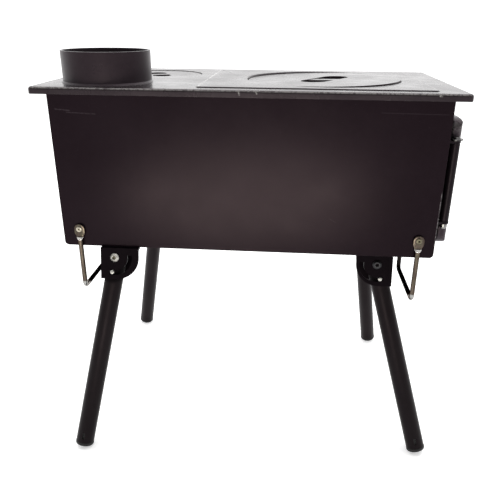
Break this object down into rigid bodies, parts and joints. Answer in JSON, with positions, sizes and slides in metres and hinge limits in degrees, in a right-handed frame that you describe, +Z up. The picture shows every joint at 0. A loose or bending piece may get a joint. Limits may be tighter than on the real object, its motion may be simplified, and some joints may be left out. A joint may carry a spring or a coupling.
{
  "type": "tent wood stove",
  "caption": "Folding-leg wood stove for a tent: sheet-steel firebox, cast top with lift-out hotplate, lids and flue collar, hinged door, splayed tube legs.",
  "frame": {"origin": "on the ground, under the middle of the whole stove's box", "axes": "+X along the stove towards the door end, +Y across it to the rear side, +Z up"},
  "size_m": [0.4888, 0.3412, 0.476],
  "materials": {
    "sheet_black": "satin heat-proof paint",
    "cast_iron_black": "satin heat-proof paint on cast iron",
    "collar_black": "matt heat-proof paint",
    "tube_black": "satin powder coat",
    "bracket_black": "satin powder coat",
    "cap_rubber": "matt",
    "bright_steel": "zinc plated",
    "dark_steel": "black oxide",
    "rivet_steel": "zinc plated",
    "spring_steel": "plain",
    "wire_steel": "zinc plated, tarnished",
    "seal_rope": "woven glass rope"
  },
  "bodies": {
    "stove": {"top_frame": "cast_iron_black", "flue_collar": "collar_black", "casing_band": "sheet_black", "side_panel_front": "sheet_black", "side_panel_rear": "sheet_black", "rim_angle_front": "sheet_black", "rim_angle_rear": "sheet_black", "rim_screws": "dark_steel", "fire_grate": "cast_iron_black", "grate_rail_front": "sheet_black", "grate_rail_rear": "sheet_black", "flame_baffle": "sheet_black", "door_frame": "sheet_black", "hinge_rod": "bright_steel", "hinge_rod_nut": "bright_steel", "latch_keeper": "sheet_black", "bracket_fl": "bracket_black", "bracket_fr": "bracket_black", "bracket_rl": "bracket_black", "bracket_rr": "bracket_black", "bracket_screws": "dark_steel", "bracket_nuts": "dark_steel", "pivot_bolts_left": "bright_steel", "pivot_bolts_right": "dark_steel", "pivot_nuts": "dark_steel", "hook_rivets": "rivet_steel"},
    "hotplate": {"hotplate_panel": "cast_iron_black"},
    "cooking_lid_body": {"cooking_lid": "cast_iron_black"},
    "small_lid_body": {"small_lid": "cast_iron_black"},
    "door": {"door_panel": "sheet_black", "door_seal": "seal_rope", "hinge_barrel": "sheet_black", "vent_rivet": "bright_steel"},
    "latch": {"latch_shaft": "bright_steel", "latch_lever": "sheet_black", "latch_grip": "bright_steel", "latch_cam": "sheet_black"},
    "air_disc": {"vent_disc": "sheet_black"},
    "leg_fl": {"leg_tube_fl": "tube_black", "foot_cap_fl": "cap_rubber", "button_spring_fl": "spring_steel"},
    "button_fl": {"lock_button_fl": "bright_steel"},
    "leg_fr": {"leg_tube_fr": "tube_black", "foot_cap_fr": "cap_rubber", "button_spring_fr": "spring_steel"},
    "button_fr": {"lock_button_fr": "bright_steel"},
    "leg_rl": {"leg_tube_rl": "tube_black", "foot_cap_rl": "cap_rubber", "button_spring_rl": "spring_steel"},
    "button_rl": {"lock_button_rl": "bright_steel"},
    "leg_rr": {"leg_tube_rr": "tube_black", "foot_cap_rr": "cap_rubber", "button_spring_rr": "spring_steel"},
    "button_rr": {"lock_button_rr": "bright_steel"},
    "hook_fl": {"wire_hook_fl": "wire_steel"},
    "hook_fr": {"wire_hook_fr": "wire_steel"},
    "hook_rl": {"wire_hook_rl": "wire_steel"},
    "hook_rr": {"wire_hook_rr": "wire_steel"}
  },
  "joints": [
    {"name": "hotplate_lift", "type": "slide", "parent": "stove", "child": "hotplate", "axis": [0, 0, 1], "range_m": [0, 0.05]},
    {"name": "cooking_lid_lift", "type": "slide", "parent": "hotplate", "child": "cooking_lid_body", "axis": [0, 0, 1], "range_m": [0, 0.05]},
    {"name": "small_lid_lift", "type": "slide", "parent": "stove", "child": "small_lid_body", "axis": [0, 0, 1], "range_m": [0, 0.05]},
    {"name": "door_hinge", "type": "hinge", "parent": "stove", "child": "door", "pos_m": [0.21313, -0.0895, 0.342], "axis": [0, 0, -1], "range_deg": [0, 115]},
    {"name": "latch_turn", "type": "hinge", "parent": "door", "child": "latch", "pos_m": [0.22162, 0.059, 0.3378], "axis": [-1, 0, 0], "range_deg": [0, 90]},
    {"name": "air_disc_turn", "type": "hinge", "parent": "door", "child": "air_disc", "pos_m": [0.22162, 0.008, 0.305], "axis": [1, 0, 0], "range_deg": [0, 45]},
    {"name": "leg_fold_fl", "type": "hinge", "parent": "stove", "child": "leg_fl", "pos_m": [-0.16897, -0.1033, 0.2434], "axis": [0, -0.9736, 0.2284], "range_deg": [0, 100.9]},
    {"name": "button_press_fl", "type": "slide", "parent": "leg_fl", "child": "button_fl", "axis": [0, 0.9736, -0.2284], "range_m": [0, 0.004], "stiffness_N_per_m": 900, "springref_m": -0.003, "deforming": ["button_spring_fl"]},
    {"name": "leg_fold_fr", "type": "hinge", "parent": "stove", "child": "leg_fr", "pos_m": [0.14203, -0.081, 0.2375], "axis": [0, 0.9751, -0.2215], "range_deg": [0, 105.4]},
    {"name": "button_press_fr", "type": "slide", "parent": "leg_fr", "child": "button_fr", "axis": [0, 0.9751, -0.2215], "range_m": [0, 0.004], "stiffness_N_per_m": 900, "springref_m": -0.003, "deforming": ["button_spring_fr"]},
    {"name": "leg_fold_rl", "type": "hinge", "parent": "stove", "child": "leg_rl", "pos_m": [-0.16897, 0.1033, 0.2434], "axis": [0, -0.9736, -0.2284], "range_deg": [0, 100.8]},
    {"name": "button_press_rl", "type": "slide", "parent": "leg_rl", "child": "button_rl", "axis": [0, -0.9736, -0.2284], "range_m": [0, 0.004], "stiffness_N_per_m": 900, "springref_m": -0.003, "deforming": ["button_spring_rl"]},
    {"name": "leg_fold_rr", "type": "hinge", "parent": "stove", "child": "leg_rr", "pos_m": [0.14203, 0.081, 0.2375], "axis": [0, 0.9751, 0.2215], "range_deg": [0, 98.7]},
    {"name": "button_press_rr", "type": "slide", "parent": "leg_rr", "child": "button_rr", "axis": [0, -0.9751, -0.2215], "range_m": [0, 0.004], "stiffness_N_per_m": 900, "springref_m": -0.003, "deforming": ["button_spring_rr"]},
    {"name": "hook_swing_fl", "type": "hinge", "parent": "stove", "child": "hook_fl", "pos_m": [-0.21038, -0.111, 0.279], "axis": [0, -1, 0], "range_deg": [-85, 12]},
    {"name": "hook_swing_fr", "type": "hinge", "parent": "stove", "child": "hook_fr", "pos_m": [0.18313, -0.111, 0.279], "axis": [0, 1, 0], "range_deg": [-85, 12]},
    {"name": "hook_swing_rl", "type": "hinge", "parent": "stove", "child": "hook_rl", "pos_m": [-0.21038, 0.111, 0.279], "axis": [0, -1, 0], "range_deg": [-85, 12]},
    {"name": "hook_swing_rr", "type": "hinge", "parent": "stove", "child": "hook_rr", "pos_m": [0.18313, 0.111, 0.279], "axis": [0, 1, 0], "range_deg": [-85, 12]}
  ]
}
